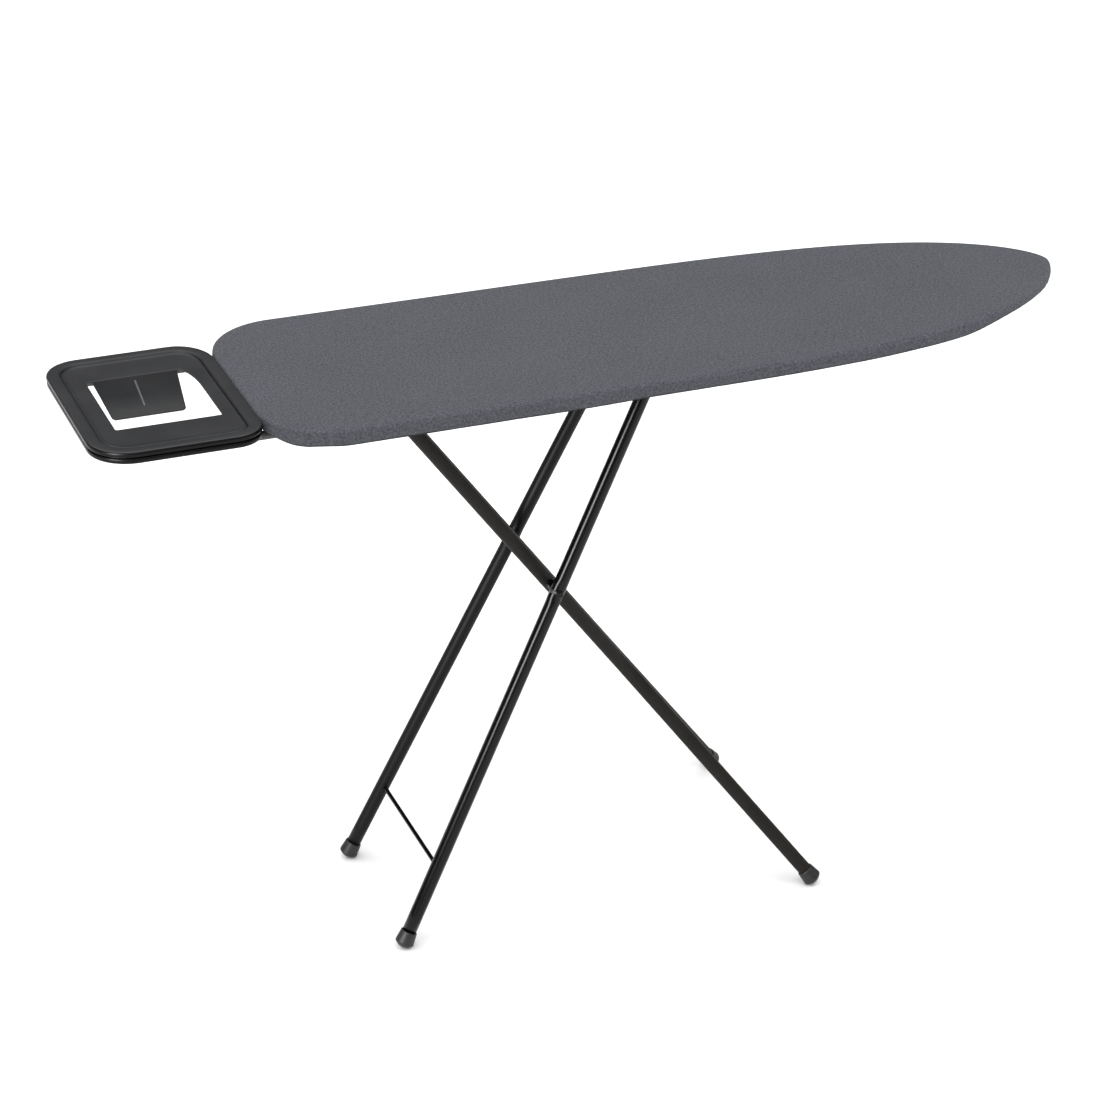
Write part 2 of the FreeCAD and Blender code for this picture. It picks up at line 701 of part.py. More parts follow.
def iron_rest_top():
    """Upper moulding: a raised band round a sunk panel with the opening in it."""
    top = rest_top_z()
    low = top - dim("rest_top_thickness")
    slab = extrude("rest_slab", rest_outline(0), low, "dims.rest_top_thickness")
    inset = dim("rest_panel_inset")
    panel = rounded_rectangle(rest_centre(), dim("rest_length") - 2 * inset,
                              dim("rest_width") - 2 * inset, [dim("rest_panel_radius")] * 4)
    sink = extrude("rest_sink", panel, top - dim("rest_panel_sink"), "dims.rest_panel_sink + 1")
    opening = extrude("rest_opening", opening_outline(), low - 1, "dims.rest_top_thickness + 2")
    open_slab = cut("rest_open", cut("rest_sunk", slab, sink), opening)
    doc.recompute()
    rounded = doc.addObject("Part::Fillet", "rest_rounded")
    rounded.Base = open_slab
    radius = dim("rest_edge_radius")
    rim = []
    for number, edge in enumerate(open_slab.Shape.Edges, start=1):
        bounds = edge.BoundBox
        if bounds.ZMin > top - 0.01:
            rim.append((number, radius, radius))
    rounded.Edges = rim
    return keep(rounded, "iron_rest_top")


def iron_rest_base(drill):
    """Lower moulding: a ring below a narrow groove, with four lugs that sit on the arms."""
    ring_top = rest_top_z() - dim("rest_top_thickness") - dim("rest_groove")
    low = ring_top - dim("rest_base_thickness")
    ring = extrude("base_ring", rest_outline(dim("rest_base_inset")), low,
                   "dims.rest_base_thickness")
    neck = extrude("base_neck", rest_outline(dim("rest_neck_inset")), ring_top,
                   "dims.rest_groove")
    inside = extrude("base_inside", rest_outline(dim("rest_ring_width")), low - 1,
                     "dims.rest_base_thickness + dims.rest_groove + 2")
    ring_cut = cut("base_ring_cut", fuse("base_layers", [ring, neck]), inside)
    arm_radius = dim("arm_diameter") / 2
    arm_top = arm_height() + arm_radius
    lug_end = dim("rest_width") / 2 - dim("rest_ring_width") / 2
    lugs = []
    for x, side in rest_screw_places():
        low_x = x - dim("rest_lug_width") / 2
        foot = Vector(low_x, arm_y(side) - arm_radius, arm_top)
        lugs.append(box("base_lug_foot", foot, "dims.rest_lug_width", "dims.arm_diameter",
                        "%g mm" % (low - arm_top)))
        lug_start = arm_y(side) - side * arm_radius
        beam = Vector(low_x, min(lug_start, side * lug_end), low)
        lugs.append(box("base_lug_beam", beam, "dims.rest_lug_width",
                        "%g mm" % abs(side * lug_end - lug_start),
                        "dims.rest_base_thickness + dims.rest_groove"))
    solid = fuse("base_with_lugs", [ring_cut] + lugs)
    return keep(cut("base_drilled", solid, drill), "iron_rest_base")


def heel_plate():
    """Sloping plate that hangs from the opening's far edge, narrower at its tip, with one rib."""
    body = doc.addObject("PartDesign::Body", "heel_plate_body")
    outline = sketch_on(body, "heel_outline", "XY_Plane")
    half = dim("heel_width") / 2
    tip_half = dim("heel_tip_width") / 2
    length = dim("heel_length")
    closed_polygon(outline, [(-half, 0), (-tip_half, -length), (tip_half, -length), (half, 0)])
    plate = body.newObject("PartDesign::Pad", "heel_pad")
    plate.Profile = outline
    plate.Reversed = True
    plate.setExpression("Length", "dims.heel_thickness")
    rib_outline = sketch_on(body, "heel_rib_outline", "XY_Plane")
    rib_half = dim("heel_rib_width") / 2
    rib_root = -dim("heel_rib_root_gap")
    rib_tip = dim("heel_rib_tip_gap") - length
    closed_polygon(rib_outline, [(-rib_half, rib_root), (-rib_half, rib_tip),
                                 (rib_half, rib_tip), (rib_half, rib_root)])
    rib = body.newObject("PartDesign::Pad", "heel_rib")
    rib.Profile = rib_outline
    rib.setExpression("Length", "dims.heel_rib_height")
    overlap = 1
    below_panel = 0.4
    place = rest_centre() + Vector(dim("opening_offset_x") - overlap,
                                   dim("opening_width") / 2 - overlap,
                                   rest_top_z() - dim("rest_panel_sink") - below_panel)
    body.Placement = Placement(place, Rotation(Vector(1, 0, 0), dim("heel_slope")))
    return keep(body, "heel_plate")


def arm_height():
    """Height of the support arms' axis: their tops meet the undersides of the ribs."""
    return deck_underside() - dim("rib_depth") - dim("arm_diameter") / 2


def arm_y(side):
    """An arm's place along Y: the pair is set back, so that the rear one clears the opening."""
    return side * dim("arm_half_spacing") + dim("arm_shift")


def rest_screw_places():
    """Where the iron rest is screwed to the arms: position along X, and side."""
    reach = dim("rest_screw_half_spacing")
    return [(rest_centre().x + along * reach, side) for along in (-1, 1) for side in (-1, 1)]


def left_rib_x():
    """Middle of the left rib along X, where the arms are screwed to it."""
    return dim("board_left_x") + dim("left_rib_inset")


def vertical_screw(name, x, side, top):
    """Screw from below an arm up to a height, with a flat head under the arm."""
    y = arm_y(side)
    low = arm_height() - dim("arm_diameter") / 2
    shank = cylinder(name + "_shank", Vector(x, y, low), Vector(0, 0, 1),
                     "dims.screw_diameter / 2", "%g mm" % (top - low))
    head = cylinder(name + "_head", Vector(x, y, low), Vector(0, 0, -1),
                    "dims.screw_head_diameter / 2", "dims.screw_head")
    return fuse(name, [shank, head])


def screw_group(label, places):
    """A set of identical vertical screws kept together."""
    group = doc.addObject("Part::Compound", label + "_set")
    group.Links = [vertical_screw("%s_%d" % (label, number), *place)
                   for number, place in enumerate(places)]
    return keep(group, label)


def screw_holes(name, places, low, high):
    """Clearance-free vertical holes at the screws' places, between two heights."""
    radius = dim("screw_diameter") / 2
    tools = [Part.makeCylinder(radius, high - low, Vector(x, arm_y(side), low))
             for x, side in places]
    return feature(name, Part.makeCompound(tools))


def rest_arm(label, side, places):
    """Steel tube that carries the iron rest and runs back under the board."""
    start = rest_centre().x - dim("rest_length") / 2 + dim("arm_inset")
    end = dim("board_left_x") + dim("arm_reach")
    base = Vector(start, arm_y(side), arm_height())
    length = "%g mm" % (end - start)
    outside = cylinder(label + "_outside", base, Vector(1, 0, 0), "dims.arm_diameter / 2", length)
    inside = cylinder(label + "_bore", base, Vector(1, 0, 0),
                      "dims.arm_diameter / 2 - dims.arm_wall", length)
    tube = cut(label + "_tube", outside, inside)
    holes = screw_holes(label + "_holes", [place for place in places if place[1] == side],
                        arm_height() - dim("arm_diameter"), arm_height() + dim("arm_diameter"))
    return keep(cut(label + "_drilled", tube, holes), label)


# ---------------------------------------------------------------- assembly

def build():
    """Make every sub-part."""
    fill_sheet()
    fabric_cover()
    foam_pad()
    deck_pan()

    sides = (("front", -1), ("rear", 1))
    rest_places = rest_screw_places()
    rib_places = [(left_rib_x(), side) for _, side in sides]
    under = deck_underside()
    rib_bottom = under - dim("rib_depth")
    rib_holes = screw_holes("rib_holes", rib_places, rib_bottom - 1, under - 1)
    cross_rib("left_cross_rib", left_rib_x(), [rib_holes])
    cross_rib("middle_cross_rib", dim("crossing_x") - dim("middle_rib_offset"), [])
    cross_rib("nose_cross_rib", dim("board_left_x") + dim("nose_rib_reach"), [])
    for name, side in sides:
        hinge_bracket(name + "_hinge_bracket", side)
        height_rail(name + "_height_rail", side)
    hinge_pin()

    iron_rest_top()
    rest_screw_top = rest_top_z() - dim("rest_screw_depth")
    iron_rest_base(screw_holes("base_holes", rest_places, arm_height(), rest_screw_top))
    heel_plate()
    for name, side in sides:
        rest_arm(name + "_rest_arm", side, rest_places + rib_places)
    screw_group("rest_screws", [(x, side, rest_screw_top) for x, side in rest_places])
    arm_screw_top = rib_bottom + dim("arm_screw_grip")
    screw_group("arm_screws", [(x, side, arm_screw_top) for x, side in rib_places])

    hinge_tool, _ = hinge_tube()
    bar_tool, _ = top_bar()
    bar_end_caps()
    outer_end = outer_foot_run()
    inner_end = inner_foot_run()
    for name, side in sides:
        inner_tube("inner_%s_leg" % name, side, hinge_tool)
        outer_tube("outer_%s_leg" % name, side, bar_tool)
        crossing_rivet(name + "_crossing_rivet", side)
        crossing_spacer(name + "_crossing_spacer", side)
        foot_cap("outer_%s_foot" % name, outer_axis_point(side, outer_end), outer_direction(side))
        leg_up = inner_axis_point(side, inner_bend_run()) - inner_axis_point(side, inner_end)
        foot_cap("inner_%s_foot" % name, inner_axis_point(side, inner_end), leg_up)

    wire_run = -dim("outer_wire_run")
    cross_wire("outer_cross_wire", outer_axis_point(-1, wire_run), outer_axis_point(1, wire_run),
               outer_tube_tool("outer_wire_tool"))
    wire_run = inner_crossing_run() + dim("inner_wire_run")
    cross_wire("inner_cross_wire", inner_axis_point(-1, wire_run), inner_axis_point(1, wire_run),
               inner_tube_tool("inner_wire_tool"))


def write_parts():
    """Recompute, check every object and write one STEP file for each sub-part."""
    doc.recompute()
    for obj in doc.Objects:
        if "Invalid" in obj.State or "Error" in obj.State:
            raise RuntimeError("%s failed: %s" % (obj.Label, obj.State))
    os.makedirs("parts", exist_ok=True)
    for obj in sub_parts:
        shape = obj.Shape
        if shape.isNull() or not shape.isValid() or not shape.Solids:
            raise RuntimeError("%s has no valid solid" % obj.Label)
        shape.exportStep("parts/%s.step" % obj.Label)
        print("%-24s solids %d  volume %.0f" % (obj.Label, len(shape.Solids), shape.Volume))


build()
write_parts()
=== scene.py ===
"""Looks of a folding ironing board with an iron rest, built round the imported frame.

Metres, +Z up.  Positions come from the frame's own boxes.
"""

import math

import bmesh
import bpy
import numpy as np
from mathutils import Matrix, Vector, noise


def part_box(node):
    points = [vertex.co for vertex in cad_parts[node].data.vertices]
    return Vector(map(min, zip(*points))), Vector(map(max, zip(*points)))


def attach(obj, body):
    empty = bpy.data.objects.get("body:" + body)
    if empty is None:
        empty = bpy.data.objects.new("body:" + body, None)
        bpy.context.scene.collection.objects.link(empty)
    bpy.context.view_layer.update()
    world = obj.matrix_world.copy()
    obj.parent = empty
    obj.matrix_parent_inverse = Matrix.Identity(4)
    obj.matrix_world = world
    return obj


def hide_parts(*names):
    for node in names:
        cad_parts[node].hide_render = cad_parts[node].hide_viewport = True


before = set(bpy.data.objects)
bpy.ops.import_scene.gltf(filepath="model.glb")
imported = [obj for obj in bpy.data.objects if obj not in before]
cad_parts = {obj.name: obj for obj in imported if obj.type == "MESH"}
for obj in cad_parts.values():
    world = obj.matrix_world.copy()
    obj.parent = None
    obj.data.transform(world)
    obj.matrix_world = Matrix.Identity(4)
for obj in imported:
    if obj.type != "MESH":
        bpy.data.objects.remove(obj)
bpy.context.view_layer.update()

MM = 0.001
BOARD = "board"

# ---------------------------------------------------------------- small helpers


def cad(node):
    """The Blender object of a CAD node."""
    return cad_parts[node]


def corners(node):
    """Lowest and highest corner of a CAD node as two arrays."""
    low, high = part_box(node)
    return np.array(low), np.array(high)


def smooth_step(value, start, end):
    """0 before start, 1 after end, smooth between."""
    share = np.clip((value - start) / (end - start), 0, 1)
    return share * share * (3 - 2 * share)


def mesh_piece(name, points, faces, material, body=BOARD):
    """A smooth mesh object made of points and faces, riding on a body."""
    mesh = bpy.data.meshes.new(name)
    mesh.from_pydata([tuple(point) for point in points], [], faces)
    mesh.validate()
    mesh.shade_smooth()
    mesh.materials.append(material)
    piece = bpy.data.objects.new(name, mesh)
    bpy.context.scene.collection.objects.link(piece)
    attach(piece, body)
    return piece


def loft(loops, closed):
    """Points and quads between equal loops; closed joins the last loop to the first."""
    count = len(loops[0])
    points = np.concatenate(loops)
    faces = []
    for row in range(len(loops) if closed else len(loops) - 1):
        here = row * count
        there = (row + 1) % len(loops) * count
        for index in range(count):
            after = (index + 1) % count
            faces.append((here + index, here + after, there + after, there + index))
    return points, faces


def weld(piece):
    """Join points that lie on the same spot, and turn all faces outward."""
    shape = bmesh.new()
    shape.from_mesh(piece.data)
    bmesh.ops.remove_doubles(shape, verts=shape.verts, dist=0.05 * MM)
    bmesh.ops.recalc_face_normals(shape, faces=shape.faces)
    shape.to_mesh(piece.data)
    shape.free()
    piece.data.shade_smooth()


def at_height(plan, height):
    """Plan points lifted to a height, which may differ from point to point."""
    return np.column_stack([plan, np.broadcast_to(height, len(plan))])


# ---------------------------------------------------------------- materials


def new_material(name):
    """An empty node material and the makings of its tree."""
    material = bpy.data.materials.new(name)
    material.use_nodes = True
    nodes = material.node_tree.nodes
    shader = nodes["Principled BSDF"]
    return material, nodes, material.node_tree.links, shader


def noise_node(nodes, links, coords, scale, detail=3.0, roughness=0.55, stretch=None):
    """A noise texture over object coordinates, optionally stretched."""
    source = coords
    if stretch is not None:
        mapping = nodes.new("ShaderNodeMapping")
        mapping.inputs["Scale"].default_value = stretch
        links.new(coords, mapping.inputs["Vector"])
        source = mapping.outputs["Vector"]
    texture = nodes.new("ShaderNodeTexNoise")
    texture.inputs["Scale"].default_value = scale
    texture.inputs["Detail"].default_value = detail
    texture.inputs["Roughness"].default_value = roughness
    links.new(source, texture.inputs["Vector"])
    return texture.outputs["Fac"]


def ramp_node(nodes, links, factor, stops):
    """A colour ramp through (position, colour) stops."""
    ramp = nodes.new("ShaderNodeValToRGB")
    elements = ramp.color_ramp.elements
    while len(elements) < len(stops):
        elements.new(0.5)
    for element, (position, colour) in zip(elements, stops):
        element.position = position
        element.color = (*colour, 1)
    links.new(factor, ramp.inputs["Fac"])
    return ramp.outputs["Color"]


def range_node(nodes, links, factor, low, high):
    """Map 0..1 to low..high."""
    mapped = nodes.new("ShaderNodeMapRange")
    mapped.inputs["To Min"].default_value = low
    mapped.inputs["To Max"].default_value = high
    links.new(factor, mapped.inputs["Value"])
    return mapped.outputs["Result"]


def bump_node(nodes, links, height, strength, distance, before=None):
    """A bump from a height, optionally on top of another bump."""
    bump = nodes.new("ShaderNodeBump")
    bump.inputs["Strength"].default_value = strength
    bump.inputs["Distance"].default_value = distance
    links.new(height, bump.inputs["Height"])
    if before is not None:
        links.new(before, bump.inputs["Normal"])
    return bump.outputs["Normal"]


def object_coords(nodes):
    """Object coordinates, in metres."""
    return nodes.new("ShaderNodeTexCoord").outputs["Object"]


def math_node(nodes, links, operation, first, second):
    """A two-input math node; each input is a socket or a number."""
    node = nodes.new("ShaderNodeMath")
    node.operation = operation
    for socket, value in zip(node.inputs, (first, second)):
        if isinstance(value, (int, float)):
            socket.default_value = value
        else:
            links.new(value, socket)
    return node.outputs["Value"]


def thread_wave(nodes, links, coords, direction, pitch):
    """Parallel threads: a sine across one direction, wobbling a little."""
    wave = nodes.new("ShaderNodeTexWave")
    wave.bands_direction = direction
    wave.wave_profile = "SIN"
    wave.inputs["Scale"].default_value = 0.314 / pitch
    wave.inputs["Distortion"].default_value = 1.2
    wave.inputs["Detail"].default_value = 1.0
    wave.inputs["Detail Scale"].default_value = 2.0
    links.new(coords, wave.inputs["Vector"])
    return wave.outputs["Fac"]


def cover_material():
    """Blue-grey cotton: mottled yarn over a plain weave, with painted shade making it a little darker
    down the sides.
    """
    material, nodes, links, shader = new_material("woven_cover_cotton")
    coords = object_coords(nodes)
    yarn = noise_node(nodes, links, coords, 330, 1.5, 0.6)
    cloud = noise_node(nodes, links, coords, 7, 2.0, 0.5)
    fleck = noise_node(nodes, links, coords, 760, 1.0, 0.5)
    mottled = math_node(nodes, links, "ADD", math_node(nodes, links, "MULTIPLY", yarn, 0.6),
                        math_node(nodes, links, "MULTIPLY", fleck, 0.4))
    tone = math_node(nodes, links, "ADD", math_node(nodes, links, "MULTIPLY", mottled, 0.94),
                     math_node(nodes, links, "MULTIPLY", cloud, 0.06))
    weave_colour = ramp_node(nodes, links, tone, [(0.36, (0.0400, 0.0421, 0.0498)),
                                                  (0.5, (0.0675, 0.0705, 0.0815)),
                                                  (0.64, (0.0950, 0.0988, 0.1132))])
    # Painted shade: below the edge roll, down the side, the colour is multiplied down to 94%, where
    # less light falls.
    separate = nodes.new("ShaderNodeSeparateXYZ")
    links.new(coords, separate.inputs["Vector"])
    side = nodes.new("ShaderNodeMapRange")
    side.interpolation_type = "SMOOTHSTEP"
    side.inputs["From Min"].default_value = TOP_Z - 7 * MM
    side.inputs["From Max"].default_value = TOP_Z - 1.2 * MM
    links.new(separate.outputs["Z"], side.inputs["Value"])
    painted_side_shade = ramp_node(nodes, links, side.outputs["Result"], [(0.0, (0.94, 0.94, 0.94)),
                                                             (1.0, (1.0, 1.0, 1.0))])
    tint = nodes.new("ShaderNodeMix")
    tint.data_type = "RGBA"
    tint.blend_type = "MULTIPLY"
    tint.inputs["Factor"].default_value = 1.0
    links.new(weave_colour, tint.inputs["A"])
    links.new(painted_side_shade, tint.inputs["B"])
    links.new(tint.outputs["Result"], shader.inputs["Base Color"])
    links.new(range_node(nodes, links, yarn, 0.78, 0.95), shader.inputs["Roughness"])
    shader.inputs["Specular IOR Level"].default_value = 0.15
    shader.inputs["Sheen Weight"].default_value = 0.04
    shader.inputs["Sheen Roughness"].default_value = 0.5
    pitch = 0.9 * MM
    warp = thread_wave(nodes, links, coords, "X", pitch)
    weft = thread_wave(nodes, links, coords, "Y", pitch)
    drop = thread_wave(nodes, links, coords, "Z", pitch)
    weave = math_node(nodes, links, "MAXIMUM", warp, math_node(nodes, links, "MAXIMUM", weft, drop))
    fuzz = bump_node(nodes, links, mottled, 0.7, 0.6 * MM)
    links.new(bump_node(nodes, links, weave, 0.35, 0.15 * MM, fuzz), shader.inputs["Normal"])
    return material


def felt_material():
    """Pale needled felt with matted fibres."""
    material, nodes, links, shader = new_material("needled_felt")
    coords = object_coords(nodes)
    fibres = noise_node(nodes, links, coords, 700, 6.0, 0.8, (1.0, 0.35, 1.0))
    colour = ramp_node(nodes, links, fibres, [(0.3, (0.36, 0.35, 0.33)), (0.7, (0.62, 0.61, 0.58))])
    links.new(colour, shader.inputs["Base Color"])
    shader.inputs["Roughness"].default_value = 0.95
    shader.inputs["Sheen Weight"].default_value = 0.3
    links.new(bump_node(nodes, links, fibres, 0.8, 0.6 * MM), shader.inputs["Normal"])
    return material


def plastic_material(name, dark, light, rough_low, rough_high, specular=0.45):
    """Moulded plastic: spark-eroded grain with faint cloudy variation in tone and gloss."""
    material, nodes, links, shader = new_material(name)
    coords = object_coords(nodes)
    grain = noise_node(nodes, links, coords, 1900, 2.0, 0.6)
    flow = noise_node(nodes, links, coords, 18, 3.0, 0.5)
    colour = ramp_node(nodes, links, flow, [(0.3, dark), (0.7, light)])
    links.new(colour, shader.inputs["Base Color"])
    links.new(range_node(nodes, links, flow, rough_low, rough_high), shader.inputs["Roughness"])
    shader.inputs["Specular IOR Level"].default_value = specular
    links.new(bump_node(nodes, links, grain, 0.35, 0.08 * MM), shader.inputs["Normal"])
    return material


def enamel_material(name, dark, light, rough_low, rough_high, specular):
    """Stoved paint on tube: thin orange peel, dust-fine specks and a slight change of gloss."""
    material, nodes, links, shader = new_material(name)
    coords = object_coords(nodes)
    peel = noise_node(nodes, links, coords, 260, 2.0, 0.5)
    scuffs = noise_node(nodes, links, coords, 30, 6.0, 0.7, (1.0, 1.0, 0.25))
    colour = ramp_node(nodes, links, scuffs, [(0.35, dark), (0.75, light)])
    links.new(colour, shader.inputs["Base Color"])
    links.new(range_node(nodes, links, scuffs, rough_low, rough_high), shader.inputs["Roughness"])
    shader.inputs["Specular IOR Level"].default_value = specular
    links.new(bump_node(nodes, links, peel, 0.25, 0.05 * MM), shader.inputs["Normal"])
    return material


def steel_material():
    """Bright zinc plating with fine turning marks and dull patches."""
    material, nodes, links, shader = new_material("bright_zinc_plate")
    coords = object_coords(nodes)
    marks = noise_node(nodes, links, coords, 900, 3.0, 0.6, (1.0, 0.2, 1.0))
    patches = noise_node(nodes, links, coords, 60, 3.0, 0.6)
    colour = ramp_node(nodes, links, patches, [(0.3, (0.46, 0.46, 0.47)), (0.7, (0.70, 0.70, 0.71))])
    links.new(colour, shader.inputs["Base Color"])
    shader.inputs["Metallic"].default_value = 1.0
    links.new(range_node(nodes, links, patches, 0.22, 0.42), shader.inputs["Roughness"])
    links.new(bump_node(nodes, links, marks, 0.3, 0.04 * MM), shader.inputs["Normal"])
    return material


def sheet_steel_material():
    """Dark powder coat on pressed sheet: pebbled, satin."""
    material, nodes, links, shader = new_material("powder_coated_sheet")
    coords = object_coords(nodes)
    pebble = noise_node(nodes, links, coords, 650, 2.0, 0.5)
    patches = noise_node(nodes, links, coords, 14, 3.0, 0.5)
    colour = ramp_node(nodes, links, patches, [(0.3, (0.030, 0.030, 0.031)),
                                               (0.7, (0.046, 0.046, 0.047))])
    links.new(colour, shader.inputs["Base Color"])
    links.new(range_node(nodes, links, pebble, 0.38, 0.55), shader.inputs["Roughness"])
    links.new(bump_node(nodes, links, pebble, 0.4, 0.07 * MM), shader.inputs["Normal"])
    return material


COVER_LOW, COVER_HIGH = corners("fabric_cover")
TOP_Z = COVER_HIGH[2]
COTTON = cover_material()
FELT = felt_material()
REST_PLASTIC = plastic_material("charcoal_moulding", (0.0310, 0.0315, 0.0330),
                                (0.0375, 0.0381, 0.0399), 0.34, 0.46, 0.22)
# A much darker copy of the rest's plastic: painted shade on its walls, groove floor and lower
# moulding.
SHADED_WALL_PLASTIC = plastic_material("charcoal_wall_painted_shade", (0.0020, 0.0020, 0.0022), (0.0034, 0.0034, 0.0036),
                                0.26, 0.36, 0.14)
# A darker copy of the rest's plastic for the sloping heel plate, which faces the light: painted shade.
SHADED_HEEL_PLASTIC = plastic_material("heel_moulding_painted_shade", (0.0230, 0.0235, 0.0246), (0.0285, 0.0290, 0.0304),
                                0.38, 0.50, 0.22)
# A much lighter copy of the plastic for the heel plate's rib: a painted highlight along it.
HIGHLIGHT_RIB_PLASTIC = plastic_material("rib_painted_highlight", (0.070, 0.071, 0.073), (0.095, 0.096, 0.099),
                               0.30, 0.40)
# A dark colour on the cover's hem roll: painted shade along its lower edge.
HEM_PAINTED_SHADE = plastic_material("cover_hem_painted_shade", (0.017, 0.0175, 0.019), (0.026, 0.027, 0.029),
                            0.80, 0.90, 0.10)
FOOT_PLASTIC = plastic_material("foot_moulding", (0.010, 0.010, 0.0105), (0.016, 0.016, 0.0165),
                                0.40, 0.55)
OUTER_ENAMEL = enamel_material("gloss_black_enamel", (0.0008, 0.0008, 0.0009),
                               (0.0016, 0.0016, 0.0017), 0.20, 0.30, 0.22)
REAR_ENAMEL = enamel_material("dull_black_enamel", (0.0008, 0.0008, 0.0009),
                              (0.0016, 0.0016, 0.0017), 0.40, 0.50, 0.20)
INNER_ENAMEL = enamel_material("satin_brown_black_enamel", (0.0125, 0.0110, 0.0095),
                               (0.0175, 0.0155, 0.0130), 0.45, 0.58, 0.12)
ZINC = steel_material()
SHEET_STEEL = sheet_steel_material()


# ---------------------------------------------------------------- board outline

LEFT_X = COVER_LOW[0]
TIP_X = COVER_HIGH[0]
HALF_WIDTH = (COVER_HIGH[1] - COVER_LOW[1]) / 2
NOSE_TIP = TIP_X + 9 * MM
NOSE_RUN = 0.799
NOSE_LEAN = 22 * MM
NOSE_LEAN_POWER = 4
# Power and root of the nose's curve on the front side (-1) and the rear side (1).
NOSE_SHAPE = {-1: (4.40, 1.48), 1: (4.09, 1.55)}
CORNER_RADIUS = 0.100
COVER_PROUD = 2.0 * MM


def nose_side(side, count):
    """Plan points from the start of the taper to the tip; the front side is cut back straighter."""
    power, root = NOSE_SHAPE[side]
    share = np.sin(np.linspace(0, math.pi / 2, count))
    width = HALF_WIDTH * np.maximum(1 - share ** power, 0) ** (1 / root)
    lean = NOSE_LEAN * share ** NOSE_LEAN_POWER
    return np.column_stack([NOSE_TIP - NOSE_RUN * (1 - share), lean + side * width])


def end_corner(side, count):
    """Plan points round a corner of the square end, from the long edge to the end edge."""
    angle = np.linspace(0, math.pi / 2, count)
    x = LEFT_X + CORNER_RADIUS * (1 - np.sin(angle))
    y = HALF_WIDTH - CORNER_RADIUS * (1 - np.cos(angle))
    return np.column_stack([x, side * y])


def even_run(points, count):
    """A run of points spaced evenly, from the first to just before the last."""
    steps = np.linalg.norm(np.diff(points, axis=0), axis=1)
    along = np.concatenate([[0], np.cumsum(steps)])
    wanted = np.linspace(0, along[-1], count, endpoint=False)
    return np.column_stack([np.interp(wanted, along, points[:, axis]) for axis in (0, 1)])


def board_outline(count):
    """The board's edge as closed plan points, anticlockwise from the middle of the square end.

    The front half comes first, and point number i has its mirror at number count - i.
    """
    fine = 400
    halves = []
    for side in (-1, 1):
        half = np.concatenate([[[LEFT_X, 0]], end_corner(side, fine)[::-1], nose_side(side, fine)])
        halves.append(half)
    front = even_run(halves[0], count // 2)
    rear = even_run(halves[1], count // 2)
    tip = np.array([[NOSE_TIP, NOSE_LEAN]])
    return np.concatenate([front, tip, rear[1:][::-1]])


def inward_normals(plan):
    """Unit vectors towards the board's inside at each outline point."""
    tangent = np.roll(plan, -1, axis=0) - np.roll(plan, 1, axis=0)
    normal = np.column_stack([-tangent[:, 1], tangent[:, 0]])
    return normal / np.linalg.norm(normal, axis=1)[:, None]


def spine(plan):
    """The point on the board's middle line that each outline point shrinks towards."""
    mirror = np.concatenate([plan[:1], plan[1:][::-1]])
    x = np.clip((plan[:, 0] + mirror[:, 0]) / 2, LEFT_X + 0.10, TIP_X - 0.13)
    share = np.clip((x - NOSE_TIP + NOSE_RUN) / NOSE_RUN, 0, 1)
    return np.column_stack([x, NOSE_LEAN * share ** NOSE_LEAN_POWER])


def drawn_in(plan, inset):
    """Outline points moved in: square to the edge, and towards the middle line at the nose."""
    toward = spine(plan) - plan
    toward /= np.linalg.norm(toward, axis=1)[:, None]
    share = smooth_step(plan[:, 0], TIP_X - 0.15, TIP_X - 0.05)[:, None]
    way = inward_normals(plan) * (1 - share) + toward * share
    way /= np.linalg.norm(way, axis=1)[:, None]
    return plan + way * np.broadcast_to(inset, len(plan))[:, None]


def skirt_depth(plan):
    """How far the cover hangs below its top: less at the nose, more at the front corner."""
    x = plan[:, 0]
    front = smooth_step(-plan[:, 1], 0.12, 0.16)
    depth = 20.4 * MM - 7.4 * MM * smooth_step(x, 0.49, 0.60)
    slack = smooth_step(x, -0.46, -0.40) * (1 - smooth_step(x, -0.10, 0.06))
    corner = np.exp(-((x - LEFT_X - 0.032) / 0.022) ** 2)
    return depth + front * (2.4 * MM * slack + 4.5 * MM * corner)


def ripple(plan, wavelength, seed):
    """Uneven waves along the edge, between -1 and 1."""
    steps = np.linalg.norm(np.diff(plan, axis=0, append=plan[:1]), axis=1)
    along = np.concatenate([[0], np.cumsum(steps)[:-1]])
    total = steps.sum()
    angle = 2 * math.pi * along / total
    radius = total / (2 * math.pi * wavelength)
    return np.array([noise.noise((math.cos(place) * radius, math.sin(place) * radius, seed)) * 1.8
                     for place in angle])


# ---------------------------------------------------------------- soft pieces

EDGE_COUNT = 720
COVER_LIFT = 0.8 * MM
EDGE_ROLL = 5.5 * MM
SIDE_INSET = 0.3 * MM
HEM_ROLL = 2.2 * MM
HEM_LOWEST = 13.2 * MM
# Face rows of the cover round the hem that take the dark colour: painted shade along the lower edge.
SHADED_HEM_ROWS = (25, 30)


def cover_top(plan, top):
    """Loops of the cover's flat top, from its middle line to the start of the edge roll."""
    middle = spine(plan)
    loops = []
    for share in np.linspace(0, 1, 11):
        flat = middle + (drawn_in(plan, 24 * MM) - middle) * share
        wave = np.array([0.3 * MM * noise.noise((x * 8, y * 8, 1.7)) for x, y in flat])
        loops.append(at_height(flat, top - 0.25 * MM + wave))
    for inset, drop in ((18, 0.12), (13, 0.08), (9.5, 0.12), (7.2, 0.22)):
        loops.append(at_height(drawn_in(plan, inset * MM), top - drop * MM))
    return loops


